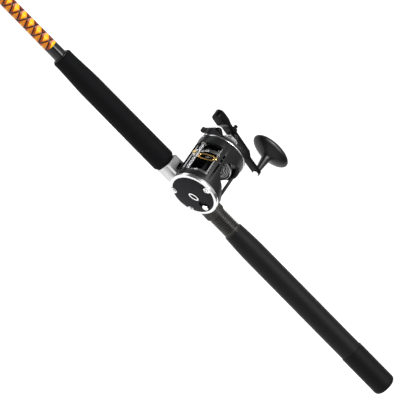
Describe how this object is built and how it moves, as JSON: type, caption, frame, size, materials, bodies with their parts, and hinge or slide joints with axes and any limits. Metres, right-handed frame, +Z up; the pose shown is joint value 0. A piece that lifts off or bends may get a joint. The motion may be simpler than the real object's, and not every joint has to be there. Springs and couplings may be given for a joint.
{
  "type": "fishing rod and reel",
  "caption": "Tubular boat rod with foam grips, ring guides and a diamond butt wrap, carrying a star-drag level-wind reel with a paddle-knob crank.",
  "frame": {"origin": "centre of the butt cap's flat end, on the rod's axis", "axes": "+X along the rod from butt to tip, +Z up through the reel on top of the rod, +Y to the reel's left side; the handle is on the -Y side"},
  "size_m": [1.6787, 0.1766, 0.1001],
  "materials": {
    "blank_graphite": "dark clear-coated composite tube",
    "butt_rubber": "matt black rubber",
    "grip_tube": "fine-textured black shrink tube",
    "check_plastic": "black moulded",
    "seat_graphite": "graphite-filled moulding",
    "stainless": "satin stainless steel",
    "eva_foam": "closed-cell foam, fine grain",
    "black_thread": "black thread under clear epoxy",
    "diamond_thread": "yellow, orange and red diamond thread wrap under clear epoxy",
    "guide_metal": "dark plated stainless wire",
    "ceramic": "polished black oxide",
    "frame_graphite": "grained graphite composite",
    "polished_steel": "polished",
    "plate_black": "grained black composite",
    "bearing_steel": "ground steel",
    "spool_black": "black anodised aluminium",
    "brass": "machined brass",
    "shaft_steel": "ground stainless steel",
    "wind_plastic": "acetal",
    "gold_wire": "titanium-gold coated wire",
    "drag_fibre": "carbon fibre drag washer",
    "lever_black": "smooth black",
    "star_black": "satin black",
    "arm_black": "black anodised aluminium",
    "knob_rubber": "soft-touch black"
  },
  "bodies": {
    "root": {"blank": "blank_graphite", "butt_cap": "butt_rubber", "rear_grip": "grip_tube", "winding_checks": "check_plastic", "reel_seat": "seat_graphite", "front_hood": "stainless", "foregrip": "eva_foam", "foregrip_binding": "black_thread", "butt_wrap": "diamond_thread", "guide_bindings": "black_thread", "tip_top": "guide_metal", "ring_inserts": "ceramic", "reel_foot": "stainless", "frame": "frame_graphite", "left_ring": "polished_steel", "left_plate": "plate_black", "badge": "polished_steel", "spool_bearings": "bearing_steel", "worm_bushings": "wind_plastic", "guide_rods": "polished_steel", "right_ring": "polished_steel", "bridge": "shaft_steel", "right_plate": "plate_black", "plate_screws": "polished_steel", "foot_screws": "polished_steel", "guide_1": "guide_metal", "guide_2": "guide_metal", "guide_3": "guide_metal", "guide_4": "guide_metal", "guide_5": "guide_metal", "guide_6": "guide_metal"},
    "handle": {"main_gear": "brass", "drag_washers": "drag_fibre", "ratchet": "shaft_steel", "handle_shaft": "shaft_steel", "handle_arm": "arm_black", "handle_nut": "arm_black", "knob_screw": "polished_steel"},
    "star": {"star_drag": "star_black"},
    "knob": {"knob": "knob_rubber"},
    "spool": {"spool": "spool_black", "spool_shaft": "shaft_steel", "click_wheel": "brass"},
    "idler": {"idler_gear": "wind_plastic"},
    "worm": {"worm_shaft": "shaft_steel", "worm_gear": "wind_plastic"},
    "line_guide": {"line_carriage": "polished_steel", "wind_pawl": "brass", "line_eye": "gold_wire"},
    "yoke": {"clutch_yoke": "wind_plastic"},
    "pinion": {"pinion": "brass"},
    "lever": {"free_spool_lever": "lever_black"},
    "dog": {"reverse_dog": "shaft_steel"},
    "clicker": {"clicker": "polished_steel"},
    "tension_cap": {"tension_cap": "polished_steel"},
    "seat_hood": {"sliding_hood": "seat_graphite"},
    "lock_nut": {"lock_nut": "seat_graphite"}
  },
  "joints": [
    {"name": "handle_crank", "type": "hinge", "parent": "root", "child": "handle", "pos_m": [0.3852, -0.06, 0.0301], "axis": [0, 1, 0], "continuous": true},
    {"name": "spool_spin", "type": "hinge", "parent": "root", "child": "spool", "pos_m": [0.3872, 0.0017, 0.0495], "axis": [0, 1, 0], "continuous": true},
    {"name": "idler_spin", "type": "hinge", "parent": "root", "child": "idler", "pos_m": [0.40107, -0.0396, 0.05436], "axis": [0, 1, 0], "continuous": true},
    {"name": "worm_spin", "type": "hinge", "parent": "root", "child": "worm", "pos_m": [0.4168, 0, 0.0567], "axis": [0, 1, 0], "continuous": true},
    {"name": "clutch_slide", "type": "slide", "parent": "root", "child": "yoke", "axis": [0, -1, 0], "range_m": [0, 0.0016]},
    {"name": "pinion_spin", "type": "hinge", "parent": "yoke", "child": "pinion", "pos_m": [0.3872, -0.045, 0.0495], "axis": [0, 1, 0], "continuous": true},
    {"name": "free_spool_lever", "type": "hinge", "parent": "root", "child": "lever", "pos_m": [0.4132, -0.05, 0.057], "axis": [0, -1, 0], "range_deg": [0, 45]},
    {"name": "star_turn", "type": "hinge", "parent": "handle", "child": "star", "pos_m": [0.3852, -0.067, 0.0301], "axis": [0, 1, 0], "range_deg": [-180, 180]},
    {"name": "knob_spin", "type": "hinge", "parent": "handle", "child": "knob", "pos_m": [0.32138, -0.11, 0.01537], "axis": [0, 1, 0], "continuous": true},
    {"name": "line_guide_slide", "type": "slide", "parent": "root", "child": "line_guide", "axis": [0, 1, 0], "range_m": [-0.0095, 0.0195]},
    {"name": "clicker_slide", "type": "slide", "parent": "root", "child": "clicker", "axis": [1, 0, 0], "range_m": [0, 0.005]},
    {"name": "reverse_dog_lift", "type": "hinge", "parent": "root", "child": "dog", "pos_m": [0.3697, -0.0407, 0.04], "axis": [0, 1, 0], "range_deg": [0, 8]},
    {"name": "tension_turn", "type": "hinge", "parent": "root", "child": "tension_cap", "pos_m": [0.3872, -0.058, 0.0495], "axis": [0, 1, 0], "range_deg": [-180, 180]},
    {"name": "hood_slide", "type": "slide", "parent": "root", "child": "seat_hood", "axis": [-1, 0, 0], "range_m": [0, 0.012]},
    {"name": "lock_nut_turn", "type": "hinge", "parent": "seat_hood", "child": "lock_nut", "pos_m": [0.3347, 0, 0], "axis": [1, 0, 0], "range_deg": [0, 1440]}
  ],
  "couplings": [
    {"joint": "spool_spin", "follows": "handle_crank", "ratio": -5},
    {"joint": "pinion_spin", "follows": "handle_crank", "ratio": -5},
    {"joint": "idler_spin", "follows": "handle_crank", "ratio": 1.6216},
    {"joint": "worm_spin", "follows": "handle_crank", "ratio": -3.75},
    {"joint": "free_spool_lever", "follows": "clutch_slide", "rad_per_m": 490.8},
    {"joint": "lock_nut_turn", "follows": "hood_slide", "rad_per_m": 2094.4}
  ]
}
